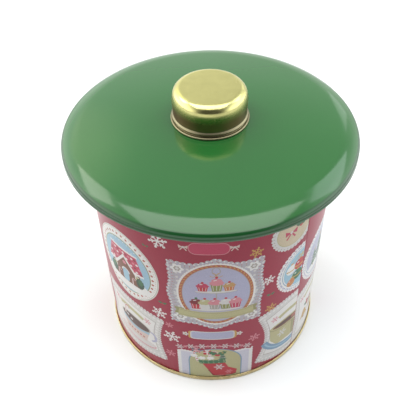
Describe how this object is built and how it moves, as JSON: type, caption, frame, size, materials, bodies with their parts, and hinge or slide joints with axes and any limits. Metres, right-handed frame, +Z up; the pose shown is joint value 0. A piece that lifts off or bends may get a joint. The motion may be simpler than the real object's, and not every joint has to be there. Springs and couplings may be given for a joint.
{
  "type": "round cookie tin with plug lid",
  "caption": "Round tinplate storage tin with a seamed base, printed wall and a double-shell plug lid that lifts off by a stamped metal knob.",
  "frame": {"origin": "centre of the base ring, on the surface that the tin stands on", "axes": "+Z up along the tin's axis; -Y is the front of the printed wall; +X is to the right seen from the front"},
  "size_m": [0.167, 0.167, 0.1809],
  "materials": {
    "printed_wall": "red lithographed print under clear varnish",
    "gold_lacquer": "gold lacquer on tinplate",
    "green_enamel": "glossy green enamel",
    "tinplate": "bare bright tinplate",
    "brass_plate": "polished pale brass",
    "zinc_plate": "zinc plated"
  },
  "bodies": {
    "tin": {"body_wall": "printed_wall", "bottom_end": "gold_lacquer"},
    "lid": {"lid_shell": "green_enamel", "lid_liner": "tinplate", "knob_shell": "brass_plate", "knob_base_plate": "tinplate", "knob_nut": "zinc_plate", "knob_washer": "zinc_plate", "knob_screw": "zinc_plate"}
  },
  "joints": [
    {"name": "lid_lift", "type": "slide", "parent": "tin", "child": "lid", "axis": [0, 0, 1], "range_m": [0, 0.15]}
  ]
}
